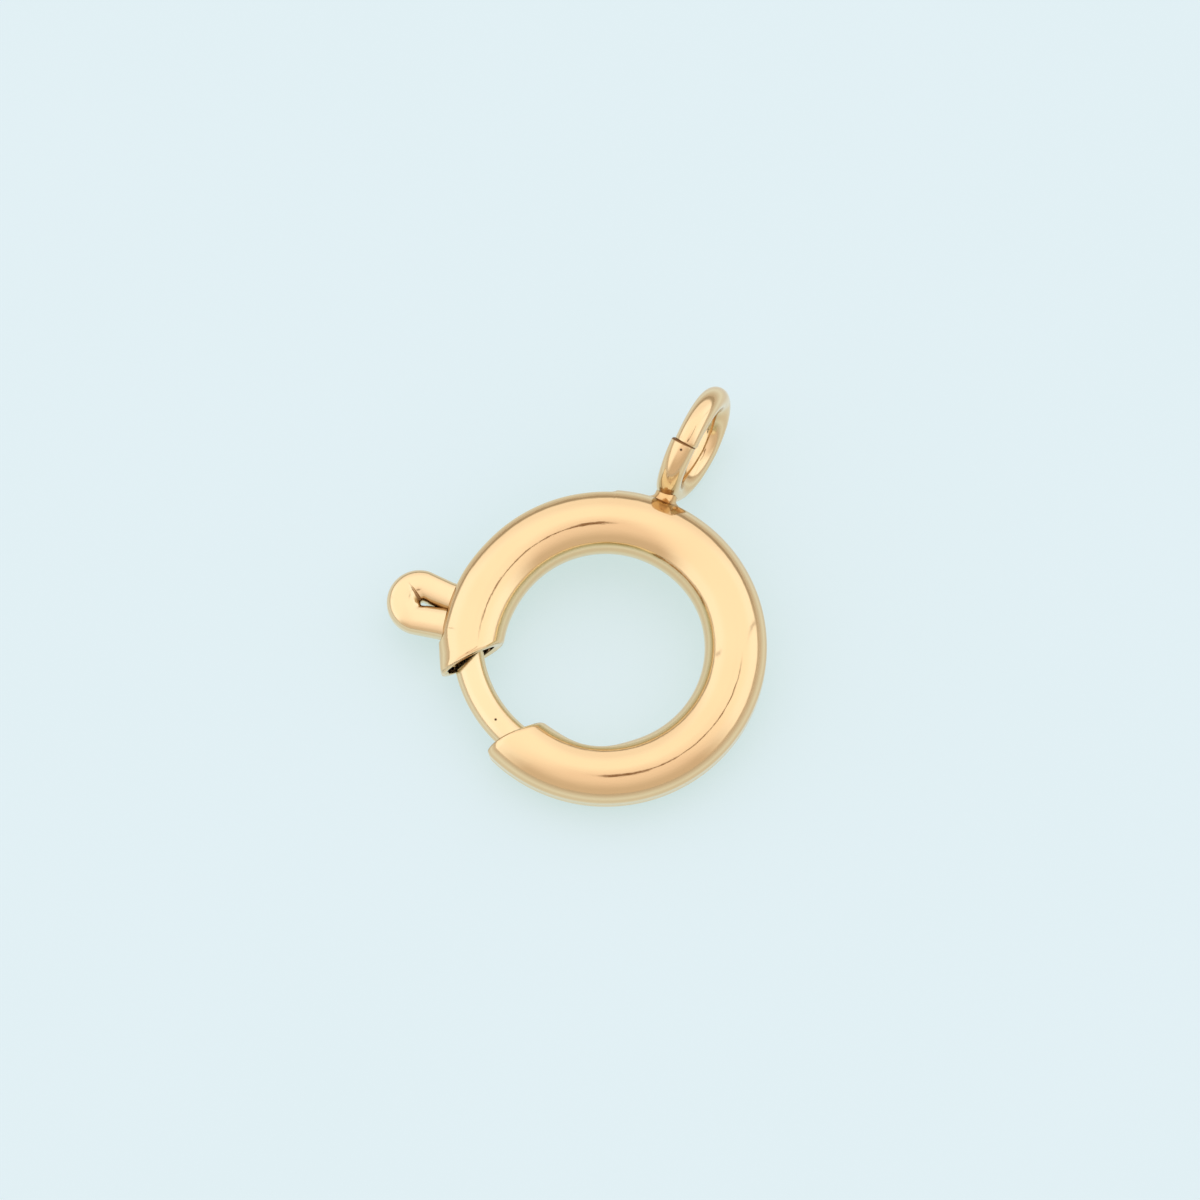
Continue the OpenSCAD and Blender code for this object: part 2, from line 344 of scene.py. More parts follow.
def gilding_group():
    """Polished gilding: colour that drifts a little, ripples, scratches round the ring, a pinhole, and
    dull dark brass where marked, which is painted shade.
    """
    tree = bpy.data.node_groups.new("polished gilding", "ShaderNodeTree")
    socket_of(tree, "INPUT", "Gold", "Color", (0.95, 0.7, 0.37, 1))
    socket_of(tree, "INPUT", "Copper", "Color", (0.9, 0.6, 0.3, 1))
    socket_of(tree, "INPUT", "Ripples per metre", "Float", 700.0)
    socket_of(tree, "INPUT", "Gloss", "Float", 0.07)
    socket_of(tree, "INPUT", "Scratches", "Float", 0.0)
    socket_of(tree, "INPUT", "Pinhole", "Vector", (0, 0, 0))
    socket_of(tree, "OUTPUT", "Colour", "Color")
    socket_of(tree, "OUTPUT", "Roughness", "Float")
    socket_of(tree, "OUTPUT", "Height", "Float")
    nodes, links, add = tree.nodes, tree.links, node_tools(tree)
    given = nodes.new("NodeGroupInput").outputs
    made = nodes.new("NodeGroupOutput").inputs
    place = nodes.new("ShaderNodeTexCoord").outputs["Object"]
    marked = nodes.new("ShaderNodeAttribute")
    marked.attribute_name = "dull_and_shade"
    dull_and_shade = marked.outputs["Fac"]
    drifts_per_metre, drift_from, drift_full = 260, 0.42, 0.75
    grains_per_metre, grain_roughness, grain_height = 9000, 0.05, 0.03
    scratches_per_metre, scratch_turns, dull_roughness, pit_floor = 11000, 0.0008, 0.4, 0.4
    ripple = add.noise(place, given["Ripples per metre"], detail=5, roughness=0.55)
    grain = add.noise(place, grains_per_metre)
    drift = add.spread(add.noise(place, drifts_per_metre), drift_from, drift_full)
    gilding = add.mix(drift, given["Gold"], given["Copper"])
    from_pinhole = add.vector("DISTANCE", place, given["Pinhole"])
    pit = add.spread(from_pinhole, PINHOLE_R * MM, pit_floor * PINHOLE_R * MM)
    # Where marked dull, the colour turns to dark brass: painted shade in the bore, the crease and the
    # eye's seam
    links.new(add.mix(pit, add.mix(dull_and_shade, gilding, BRASS_IN_SHADE), PIT_DARK), made["Colour"])
    polished = add.maths("MULTIPLY_ADD", grain, grain_roughness, given["Gloss"])
    links.new(add.maths("MULTIPLY_ADD", dull_and_shade, dull_roughness, polished), made["Roughness"])
    # The scratches run round the ring: fine across it and long along it
    flat = add.vector("MULTIPLY", place, (1, 1, 0))
    across = nodes.new("ShaderNodeCombineXYZ")
    links.new(add.vector("LENGTH", flat), across.inputs["Z"])
    along = add.vector("SCALE", add.vector("NORMALIZE", flat), scratch_turns)
    scratch = add.noise(add.vector("ADD", along, across.outputs["Vector"]), scratches_per_metre, detail=3)
    smooth = add.maths("MULTIPLY_ADD", grain, grain_height, ripple)
    links.new(add.maths("MULTIPLY_ADD", scratch, given["Scratches"], smooth), made["Height"])
    return tree


polished_gilding = gilding_group()


def gilded(name, gold, copper, painted_reflection_tint, ripples, gloss, ripple_height, scratches=0.0, pinhole=(0, 0, 0)):
    """Gilding on one piece, whose colour is multiplied by a given tint where it is seen in other gold: a
    painted reflection, mostly darker than the lit gold.
    """
    material = bpy.data.materials.new(name)
    material.use_nodes = True
    nodes, links, add = material.node_tree.nodes, material.node_tree.links, node_tools(material.node_tree)
    metal = nodes["Principled BSDF"].inputs
    metal["Metallic"].default_value = 1.0
    skin = nodes.new("ShaderNodeGroup")
    skin.node_tree = polished_gilding
    for size, value in (
        ("Gold", (*gold, 1)),
        ("Copper", (*copper, 1)),
        ("Ripples per metre", ripples),
        ("Gloss", gloss),
        ("Scratches", scratches),
        ("Pinhole", pinhole),
    ):
        skin.inputs[size].default_value = value
    # Seen mirrored in other gold, the colour is multiplied by a tint: painted shade in the reflections
    mirrored = nodes.new("ShaderNodeLightPath").outputs["Is Glossy Ray"]
    links.new(add.mix(mirrored, skin.outputs["Colour"], (*painted_reflection_tint, 1), "MULTIPLY"), metal["Base Color"])
    links.new(skin.outputs["Roughness"], metal["Roughness"])
    bump = nodes.new("ShaderNodeBump")
    bump.inputs["Distance"].default_value = ripple_height * MM
    links.new(skin.outputs["Height"], bump.inputs["Height"])
    links.new(bump.outputs["Normal"], metal["Normal"])
    return material


ring_tube = make_tube()
tube_gilding = gilded(
    "gilded tube",
    gold=(0.95, 0.705, 0.42),
    copper=(0.93, 0.67, 0.392),
    painted_reflection_tint=(0.82, 1.02, 1.3),
    ripples=700,
    gloss=0.06,
    ripple_height=0.004,
    scratches=0.55,
)
ring_tube.data.materials.append(tube_gilding)
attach(ring_tube, "ring")
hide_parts("ring_and_eye")


# The return spring is a coil of hard drawn steel wire that lies in the tube, round the bolt's tail.
# One end bears on the crimp and the other on the trigger's inner leg. The stretch that the bolt pushes
# together is one piece, and the stretch by the crimp, which stays put, is the other.
COIL_R, SPRING_WIRE_R = 0.825, 0.1
SPRING_FROM, SPRING_TO, SPRING_TURNS, PUSHED_TURNS = 174.0, -55.5, 26, 15


def coil_nodes():
    """A coil of round wire, wound about an arc of the ring's middle line."""
    tree = bpy.data.node_groups.new("wound coil", "GeometryNodeTree")
    for name, kind, value in (
        ("From", "Float", SPRING_FROM),
        ("To", "Float", SPRING_TO),
        ("Turns", "Int", SPRING_TURNS),
        ("Points per Turn", "Int", 24),
        ("Ring Radius", "Float", RING_R),
        ("Coil Radius", "Float", COIL_R),
        ("Wire Radius", "Float", SPRING_WIRE_R),
        ("Lean", "Float", 0.0),
        ("Scale", "Float", MM),
        ("Wire", "Material", None),
    ):
        socket_of(tree, "INPUT", name, kind, value)
    socket_of(tree, "OUTPUT", "Coil", "Geometry")
    nodes, links, maths = tree.nodes, tree.links, node_tools(tree).maths
    given = nodes.new("NodeGroupInput").outputs
    made = nodes.new("NodeGroupOutput")
    steps = maths("MULTIPLY", given["Turns"], given["Points per Turn"])
    line = nodes.new("GeometryNodeMeshLine")
    links.new(maths("ADD", steps, 1), line.inputs["Count"])
    share = maths("DIVIDE", nodes.new("GeometryNodeInputIndex").outputs["Index"], steps)
    sweep = maths("SUBTRACT", given["To"], given["From"])
    along = maths("RADIANS", maths("MULTIPLY_ADD", sweep, share, given["From"]))
    turn = maths("MULTIPLY", maths("MULTIPLY", given["Turns"], share), 2 * math.pi)
    out = maths("MULTIPLY_ADD", maths("COSINE", turn), given["Coil Radius"], given["Ring Radius"])
    point = nodes.new("ShaderNodeCombineXYZ")
    links.new(maths("MULTIPLY", out, maths("COSINE", along)), point.inputs["X"])
    links.new(maths("MULTIPLY", out, maths("SINE", along)), point.inputs["Y"])
    links.new(maths("MULTIPLY", given["Coil Radius"], maths("SINE", turn)), point.inputs["Z"])
    wound = nodes.new("GeometryNodeSetPosition")
    links.new(line.outputs["Mesh"], wound.inputs["Geometry"])
    links.new(point.outputs["Vector"], wound.inputs["Position"])
    path = nodes.new("GeometryNodeMeshToCurve")
    links.new(wound.outputs["Geometry"], path.inputs["Mesh"])
    section = nodes.new("GeometryNodeCurvePrimitiveCircle")
    section.inputs["Resolution"].default_value = 10
    links.new(given["Wire Radius"], section.inputs["Radius"])
    wire = nodes.new("GeometryNodeCurveToMesh")
    wire.inputs["Fill Caps"].default_value = True
    links.new(path.outputs["Curve"], wire.inputs["Curve"])
    links.new(section.outputs["Curve"], wire.inputs["Profile Curve"])
    laid = nodes.new("GeometryNodeTransform")
    rotation = nodes.new("ShaderNodeCombineXYZ")
    links.new(given["Lean"], rotation.inputs["X"])
    links.new(wire.outputs["Mesh"], laid.inputs["Geometry"])
    links.new(rotation.outputs["Vector"], laid.inputs["Rotation"])
    size = nodes.new("ShaderNodeCombineXYZ")
    for axis in "XYZ":
        links.new(given["Scale"], size.inputs[axis])
    links.new(size.outputs["Vector"], laid.inputs["Scale"])
    smooth = nodes.new("GeometryNodeSetShadeSmooth")
    links.new(laid.outputs["Geometry"], smooth.inputs["Geometry"])
    real = nodes.new("GeometryNodeRealizeInstances")
    links.new(smooth.outputs["Geometry"], real.inputs["Geometry"])
    finish = nodes.new("GeometryNodeSetMaterial")
    links.new(real.outputs["Geometry"], finish.inputs["Geometry"])
    links.new(given["Wire"], finish.inputs["Material"])
    links.new(finish.outputs["Geometry"], made.inputs["Coil"])
    return tree


def spring_steel():
    bright, dark = (0.66, 0.66, 0.67, 1), (0.50, 0.50, 0.51, 1)
    material = bpy.data.materials.new("drawn spring steel")
    material.use_nodes = True
    nodes, links, add = material.node_tree.nodes, material.node_tree.links, node_tools(material.node_tree)
    metal = nodes["Principled BSDF"].inputs
    metal["Metallic"].default_value = 1.0
    drawn = add.noise(nodes.new("ShaderNodeTexCoord").outputs["Object"], scale=6000, detail=3)
    links.new(add.spread(drawn, 0, 1, low=0.25, high=0.45), metal["Roughness"])
    links.new(add.mix(drawn, bright, dark), metal["Base Color"])
    return material


wound_coil = coil_nodes()
spring_wire = spring_steel()


def wind_coil(name, coil_from, coil_to, turns):
    coil = bpy.data.objects.new(name, bpy.data.meshes.new(name))
    bpy.context.scene.collection.objects.link(coil)
    winding = coil.modifiers.new("wound coil", "NODES")
    winding.node_group = wound_coil
    sockets = {s.name: s.identifier for s in wound_coil.interface.items_tree if s.in_out == "INPUT"}
    sizes = {"From": coil_from, "To": coil_to, "Turns": turns, "Lean": LEAN, "Wire": spring_wire}
    for size, value in sizes.items():
        winding[sockets[size]] = value
    settle(coil)
    return coil


pushed_to = SPRING_FROM + (SPRING_TO - SPRING_FROM) * PUSHED_TURNS / SPRING_TURNS
spring_pushed = wind_coil("spring_pushed_stretch", SPRING_FROM, pushed_to, PUSHED_TURNS)
spring_still = wind_coil("spring_still_stretch", pushed_to, SPRING_TO, SPRING_TURNS - PUSHED_TURNS)
held, driven = lay_down([[*polar(RING_R, pushed_to), 0], [*polar(RING_R, SPRING_FROM), 0]])
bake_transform(spring_pushed)
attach(spring_still, "ring")
for stretch in (spring_pushed, spring_still):
    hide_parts("return_spring")


# The bolt is one length of gilded brass wire. It slides in the tube and closes the gap, and the folded
# loop in it, which stands out through the slot, is the trigger. The wire is folded so tight there that
# its inner side has buckled to a crease, and the legs are squeezed together where they go into the tube.
WIRE_R = 0.575
# The bolt's bar is bent about a point a little off the ring's middle, and tapers at its nose
BOLT_SHIFT, BOLT_SHIFT_AT, NOSE_AT, NOSE_L, NOSE_TAPER = 0.4, 156.3, 255.7, 0.25, 0.3
WIRE_END_ROUNDING = 0.06
TRIGGER_AT, TRIGGER_REACH, TRIGGER_LEAN, TRIGGER_SPREAD = 187.3, 8.31, 3.2, 4.0
LOOP_R, BEND_R, TAIL_TO = 0.645, 0.62, 163.0
# How far apart the points on the middle line lie
TAIL_STEP, BEND_STEP, LOOP_STEP, LEG_POINTS = 0.08, 0.06, 0.022, 48
FOLD_FILL, FOLD_FILL_FROM, FOLD_FILL_FULL = 0.12, 0.36, 0.12
# How the legs are squeezed together and thinned, by distance from the loop's middle towards the tube
LEG_L, LEGS_HALF = 1.7, 0.745
SQUEEZE_ALONG, SQUEEZE = (0.0, 0.98, 1.25, LEG_L), (0.0, 0.09, 0.08, 0.0)
LEG_ALONG = (0.0, 0.98, 1.4, LEG_L)
INNER_LEG_R, OUTER_LEG_R = (0.57, 0.55, 0.56, WIRE_R), (0.55, 0.575, 0.575, WIRE_R)
# The pliers have left the legs a little square, up to FLAT_TO
FLATTENED, FLAT_TO, FLAT_FADE = 2.8, 1.6, 0.4
# The crease's start and end, as distances outwards and towards the eye from the loop's middle. Its facet
# widens along it, and fades out a little past its end and down the wire's side
CREASE_FROM, CREASE_TO, CREASE_EDGE, CREASE_SLOPE = (0.6, 0.53), (0.12, 0.18), 0.03, 0.5
CREASE_WIDE, CREASE_WIDENS, CREASE_OVERRUN, CREASE_FADE, CREASE_UNDER = 0.25, 0.7, 1.5, 0.3, 0.15
# How deep the crease must be before it turns dull and dark brown, and how far it goes: painted shade in
# the crease
CREASE_SHADE_FROM, CREASE_SHADE_MOST = 0.07, 0.4
BOLT_PINHOLE_AT, BOLT_PINHOLE_V = 240.9, 82.0
BOLT_MIDDLE = polar(BOLT_SHIFT, BOLT_SHIFT_AT)
LEG_WAY = TRIGGER_AT - TRIGGER_LEAN


def heading(start, end):
    return math.degrees(math.atan2(end[1] - start[1], end[0] - start[0]))


def bend_middle(p, leg, side, c):
    """The middle of the bend that joins a leg through p, which points along leg, to the arc about c."""
    g = p + polar(BEND_R, side) - c
    along = g @ polar(1, leg)
    reach = RING_R + BEND_R
    return p + polar(BEND_R, side) + polar(math.sqrt(along * along - g @ g + reach * reach) - along, leg)


def arc_path(middle, r, start, end, step):
    """Points and headings along an arc, which runs either way round."""
    count = max(3, int(abs(math.radians(end - start)) * r / step) + 1)
    angles = np.linspace(start, end, count)
    points = np.stack([middle[0] + r * cosd(angles), middle[1] + r * sind(angles)], -1)
    return points, angles + (90 if end > start else -90)


def bolt_path():
    """Middle line of the bolt's wire, from its tail in the spring to its nose in the lower arm."""
    loop = polar(TRIGGER_REACH - WIRE_R - LOOP_R, TRIGGER_AT)
    inner, outer = LEG_WAY - TRIGGER_SPREAD / 2, LEG_WAY + TRIGGER_SPREAD / 2
    inner_top = loop + polar(LOOP_R, inner - 90)
    outer_top = loop + polar(LOOP_R, outer + 90)
    inner_bend = bend_middle(inner_top, inner, inner - 90, np.zeros(2))
    outer_bend = bend_middle(outer_top, outer, outer + 90, BOLT_MIDDLE)
    inner_foot = inner_bend - polar(BEND_R, inner - 90)
    outer_foot = outer_bend - polar(BEND_R, outer + 90)
    tail_end = heading((0, 0), inner_bend) % 360
    bar_start = heading(BOLT_MIDDLE, outer_bend) % 360
    across = BOLT_MIDDLE @ polar(1, NOSE_AT + 90)
    nose = polar(BOLT_MIDDLE @ polar(1, NOSE_AT) + math.sqrt(RING_R**2 - across**2), NOSE_AT)
    bar_end = heading(BOLT_MIDDLE, nose) % 360

    def leg(start, end, direction):
        t = np.linspace(0, 1, LEG_POINTS + 2)[1:-1, None]
        return start + (end - start) * t, np.full(LEG_POINTS, direction)

    parts = [
        arc_path((0, 0), RING_R, TAIL_TO, tail_end, TAIL_STEP),
        arc_path(inner_bend, BEND_R, tail_end + 180, inner + 90, BEND_STEP),
        leg(inner_foot, inner_top, inner),
        arc_path(loop, LOOP_R, inner - 90, outer + 90, LOOP_STEP),
        leg(outer_top, outer_foot, outer + 180),
        arc_path(outer_bend, BEND_R, outer - 90, bar_start - 180, BEND_STEP),
        arc_path(BOLT_MIDDLE, RING_R, bar_start, bar_end, BEND_STEP),
    ]
    points = np.concatenate([p for p, h in parts])
    turns = np.concatenate([np.broadcast_to(h, len(p)) for p, h in parts])
    apart = np.r_[True, np.linalg.norm(np.diff(points, axis=0), axis=1) > 1e-4]
    return points[apart], turns[apart], loop


def close_wire(centres, outs, ups, radii, sides, squareness=2.0):
    """Points and faces of a wire along its middle line, closed at its ends, and round at squareness 2."""
    around = np.arange(sides) * 2 * math.pi / sides
    power = np.broadcast_to(squareness, len(centres))[:, None]
    reach = (np.abs(np.cos(around)) ** power + np.abs(np.sin(around)) ** power) ** (-1 / power)
    outwards = np.cos(around)[None, :, None] * outs[:, None, :]
    upwards = np.sin(around)[None, :, None] * ups[:, None, :]
    surface = centres[:, None, :] + (radii[:, None] * reach)[..., None] * (outwards + upwards)
    points = surface.reshape(-1, 3)
    after = [*range(1, sides), 0]
    end = len(points) - sides
    faces = []
    for i in range(0, end, sides):
        faces += [[i + k, i + after[k], i + sides + after[k], i + sides + k] for k in range(sides)]
    first, last = len(points), len(points) + 1
    faces += [[first, after[k], k] for k in range(sides)]
    faces += [[last, end + k, end + after[k]] for k in range(sides)]
    return np.concatenate([points, centres[:1], centres[-1:]]), faces


def with_round_ends(centres, radii, rounding):
    """The middle line with a few more stations at each end, where the wire's edge is rounded off."""
    quarter = np.linspace(0, math.pi / 2, 6)
    first, last = centres[0] - centres[1], centres[-1] - centres[-2]
    first, last = first / np.linalg.norm(first), last / np.linalg.norm(last)
    grown = np.sin(quarter) * rounding
    start = [centres[0] + first * s for s in grown[::-1][:-1]]
    end = [centres[-1] + last * s for s in grown[1:]]
    shrunk = rounding * (1 - np.cos(quarter))
    start_r, end_r = radii[0] - shrunk[::-1][:-1], radii[-1] - shrunk[1:]
    return np.concatenate([start, centres, end]), np.concatenate([start_r, radii, end_r])


def shape_legs(path, loop):
    """The path with its legs squeezed together near the tube, and the radius and squareness along it."""
    along = (loop - path) @ polar(1, LEG_WAY)
    across = (path - loop) @ polar(1, LEG_WAY - 90)
    beside = (np.abs(across) < LEGS_HALF) & (along < LEG_L)
    inward = np.interp(along, SQUEEZE_ALONG, SQUEEZE) * beside * np.sign(across)
    inner, outer = np.interp(along, LEG_ALONG, INNER_LEG_R), np.interp(along, LEG_ALONG, OUTER_LEG_R)
    thinned = (np.where(across > 0, inner, outer) - WIRE_R) * ease((along + LOOP_R) / LOOP_R)
    squareness = 2 + (FLATTENED - 2) * beside * ease((FLAT_TO - along) / FLAT_FADE)
    return path - inward[:, None] * polar(1, LEG_WAY - 90), WIRE_R + thinned * beside, squareness


def crease(points, loop):
    """Buckles the fold's upper side: a facet falls to a sharp line by the inner leg. Gives the depths."""
    u = (points[:, :2] - loop) @ polar(1, LEG_WAY)
    w = (points[:, :2] - loop) @ polar(1, LEG_WAY - 90)
    start, end = np.array(CREASE_FROM), np.array(CREASE_TO)
    length = np.linalg.norm(end - start)
    way = (end - start) / length
    share = ((u - start[0]) * way[0] + (w - start[1]) * way[1]) / length
    aside = (w - start[1]) * way[0] - (u - start[0]) * way[1]
    width = CREASE_WIDE * np.clip(share, 0, CREASE_OVERRUN) ** CREASE_WIDENS
    facet = np.where(aside > 0, 1 - aside / np.maximum(width, 1e-6), 1 + aside / CREASE_EDGE)
    fading = ease(points[:, 2] / CREASE_UNDER) * ease((CREASE_OVERRUN - share) / CREASE_FADE)
    depth = CREASE_SLOPE * width * np.clip(facet, 0, 1) * fading
    points[:, 2] -= depth
    return depth


def fill_fold(points, loop):
    """The metal on the inside of the fold has been pushed together and fills the loop's round end."""
    from_loop = np.linalg.norm(points[:, :2] - loop, axis=1)
    push = FOLD_FILL * ease((FOLD_FILL_FROM - from_loop) / (FOLD_FILL_FROM - FOLD_FILL_FULL))
    points[:, :2] -= push[:, None] * polar(1, LEG_WAY)


def make_bolt():
    path, turns, loop = bolt_path()
    path, radii, squareness = shape_legs(path, loop)
    length = np.r_[0, np.cumsum(np.linalg.norm(np.diff(path, axis=0), axis=1))]
    radii = radii - NOSE_TAPER * WIRE_R * np.clip((length - length[-1] + NOSE_L) / NOSE_L, 0, 1)
    centres = np.column_stack([path, np.zeros(len(path))])
    grown, radii = with_round_ends(centres, radii, WIRE_END_ROUNDING)
    more = (len(grown) - len(centres)) // 2
    turns, squareness = np.pad(turns, more, "edge"), np.pad(squareness, more, "edge")
    outs = np.column_stack([sind(turns), -cosd(turns), np.zeros(len(turns))])
    ups = np.tile([0.0, 0.0, 1.0], (len(turns), 1))
    points, faces = close_wire(grown, outs, ups, radii, sides=96, squareness=squareness)
    fill_fold(points, loop)
    depth = crease(points, loop)
    wire = make_piece("bolt_and_trigger", points, faces)
    # Deep in the crease the wire is marked dull and darkened: painted shade
    mark_dull_and_shade(wire, np.clip(depth / CREASE_SHADE_FROM - 1, 0, CREASE_SHADE_MOST))
    return wire


def bolt_pinhole():
    """Where the pinhole lies on the bar's upper side."""
    bar = BOLT_MIDDLE + polar(RING_R + WIRE_R * cosd(BOLT_PINHOLE_V), BOLT_PINHOLE_AT)
    return lay_down([*bar, WIRE_R * sind(BOLT_PINHOLE_V)])[0]


bolt = make_bolt()
bolt_gilding = gilded(
    "gilded wire",
    gold=(0.96, 0.745, 0.465),
    copper=(0.95, 0.70, 0.415),
    painted_reflection_tint=(0.5, 0.45, 0.4),
    ripples=900,
    gloss=0.13,
    ripple_height=0.003,
    pinhole=bolt_pinhole(),
)
bolt.data.materials.append(bolt_gilding)
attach(bolt, "bolt")
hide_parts("bolt")


# The eye takes the chain. It is a ring of gilded wire whose two ends meet in a butt seam on its upper
# side, where the lower end stands a little proud. It leans, and is bent sideways at its foot.
EYE_R, EYE_WIRE_R = 1.89, 0.46
EYE_LEAN, EYE_TURN, NECK_H = 5.0, 7.0, 0.08
SEAM_AT, SEAM_GAP, SEAM_ROUNDING = 196.0, 1.9, 0.09
# The lower end stands proud and the upper one is thinner, each fading out round the eye
LOWER_END_PROUD, LOWER_END_FADE, UPPER_END_THIN, UPPER_END_FADE = 0.02, 50.0, 0.015, 60.0
# The wire's sideways wander out of the eye's plane, by angle
WIRE_AT = (196.0, 230.0, 262.0, 300.0, 340.0, 375.0, 410.0, 450.0, 490.0, 520.0, 556.0)
WIRE_ASIDE = (-0.03, -0.04, -0.07, -0.05, 0.02, 0.045, 0.02, -0.05, -0.02, 0.01, 0.05)
EYE_PINHOLE_AT, EYE_PINHOLE_V = 202.5, 351.0
EYE_FOOT = np.array([0, RING_R + TUBE_R + NECK_H, 0])


def eye_directions():
    """The eye's own sideways, lengthwise and upright directions: its wire runs round the first."""
    c, s = cosd(EYE_TURN), sind(EYE_TURN)
    turned = np.array([[c, s, 0], [-s, c, 0], [0, 0, 1]])
    axis = turned @ [cosd(EYE_LEAN), 0, sind(EYE_LEAN)]
    down = turned @ [sind(EYE_LEAN), 0, -cosd(EYE_LEAN)]
    return axis, turned @ [0, 1, 0], down


def make_eye():
    axis, lengthwise, down = eye_directions()
    middle = EYE_FOOT + (EYE_R + EYE_WIRE_R) * lengthwise
    stations, sides = 260, 40
    b = np.linspace(SEAM_AT + SEAM_GAP, SEAM_AT + 360 - SEAM_GAP, stations)
    away = cosd(b)[:, None] * down + sind(b)[:, None] * lengthwise
    proud = LOWER_END_PROUD * ease(1 - (b - SEAM_AT) / LOWER_END_FADE)
    thin = UPPER_END_THIN * ease(1 - (SEAM_AT + 360 - b) / UPPER_END_FADE)
    radii = EYE_WIRE_R + proud - thin
    centres = middle + EYE_R * away + np.interp(b, WIRE_AT, WIRE_ASIDE)[:, None] * axis
    centres[1:-1] = (centres[:-2] + centres[1:-1] + centres[2:]) / 3
    grown, radii = with_round_ends(centres, radii, SEAM_ROUNDING)
    more = (len(grown) - len(centres)) // 2
    outs = np.pad(away, ((more, more), (0, 0)), "edge")
    ups = np.tile(-axis, (len(outs), 1))
    points, faces = close_wire(grown, outs, ups, radii, sides)
    wire = make_piece("eye", points, faces)
    # The wire's rounded ends at the seam are marked fully dull and dark brown: painted shade in the seam's
    # gap
    seam_shade = np.zeros(len(grown))
    seam_shade[:more], seam_shade[-2:] = 1, 1
    mark_dull_and_shade(wire, [*seam_shade.repeat(sides), 1, 1])
    on_wire = cosd(EYE_PINHOLE_AT) * down + sind(EYE_PINHOLE_AT) * lengthwise
    over_wire = cosd(EYE_PINHOLE_V) * on_wire - sind(EYE_PINHOLE_V) * axis
    return wire, lay_down(middle + EYE_R * on_wire + EYE_WIRE_R * over_wire)[0]


eye, pinhole = make_eye()
eye_gilding = gilded(
    "gilded eye",
    gold=(0.95, 0.71, 0.43),
    copper=(0.93, 0.65, 0.36),
    painted_reflection_tint=(0.62, 0.58, 0.5),
    ripples=800,
    gloss=0.1,
    ripple_height=0.004,
    pinhole=pinhole,
)
eye.data.materials.append(eye_gilding)
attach(eye, "ring")


# Hard solder joins the eye to the ring. It has run out over the tube as an uneven foot and climbs the
# eye's wire, and it is gilded with the rest, in a darker, redder tint that is painted shade where it meets
# the tube and the eye.
FOOT_X, FOOT_Z, NECK_X, NECK_Z, NECK_TOP = 0.70, 0.6, 0.42, 0.5, 0.2
FOOT_SUNK, RUN_OUT, CLIMB = 0.02, 3.5, 1.25
# Two waves make the foot uneven: how high, how many round it and from what angle
LONG_LUMPS, SHORT_LUMPS = (0.07, 2, 40.0), (0.05, 5, 100.0)


def make_solder():
    levels, sides = 16, 60
    around = np.arange(sides) * 360 / sides
    lumps = 1 + sum(height * sind(count * around + at) for height, count, at in (LONG_LUMPS, SHORT_LUMPS))
    points = []
    for climb in np.linspace(0, 1, levels):
        drawn_in = (1 - climb) ** RUN_OUT
        x = (NECK_X + (FOOT_X * lumps - NECK_X) * drawn_in) * cosd(around)
        z = (NECK_Z + (FOOT_Z * lumps - NECK_Z) * drawn_in) * sind(around)
        on_tube = np.sqrt((RING_R + np.sqrt(TUBE_R**2 - z**2)) ** 2 - x**2)
        top = EYE_FOOT[1] + NECK_TOP
        y = on_tube - FOOT_SUNK + (top - on_tube) * climb**CLIMB
        points.append(np.stack([x, y, z], -1))
    points = np.concatenate(points)
    after = [*range(1, sides), 0]
    end = len(points) - sides
    faces = []
    for i in range(0, end, sides):
        faces += [[i + k, i + sides + k, i + sides + after[k], i + after[k]] for k in range(sides)]
    faces.append(list(range(sides)))
    faces.append([end + k for k in range(sides - 1, -1, -1)])
    return make_piece("eye_solder", points, faces)


solder = make_solder()
# The solder's darker, redder gilding is painted shade at the joint
solder_gilding = gilded(
    "gilded solder",
    gold=(0.92, 0.62, 0.31),
    copper=(0.80, 0.46, 0.21),
    painted_reflection_tint=(0.4, 0.36, 0.3),
    ripples=1500,
    gloss=0.14,
    ripple_height=0.012,
)
solder.data.materials.append(solder_gilding)
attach(solder, "ring")


# The table is a smooth pale blue sheet, lit from below as well, so the clasp hardly casts a shadow.
# The ring rests on it with its lower edge and the eye with its lowest point. The sheet's glow is painted
# dimmer where it is seen aslant, as in the clasp's edges, and brown at a flat angle: painted shade of the
# sheet near the clasp, which shows only in the gold's reflections.
TABLE_HALF = 1.5
SHEET_COLOUR, SHEET_CLOUDS, CLOUDS_PER_METRE = (0.27, 0.23, 0.32, 1), (0.29, 0.24, 0.34, 1), 60
# The glow seen aslant and at a flat angle is painted shade, seen only in the clasp's reflections of the
# sheet
SHEET_GLOW, SHEET_PAINTED_SHADE_ASLANT = (0.442, 0.61, 0.58, 1), (0.38, 0.48, 0.41, 1)
SHEET_PAINTED_SHADE_FLAT = (0.20, 0.225, 0.12, 1)
table_z = cad_box[0].z


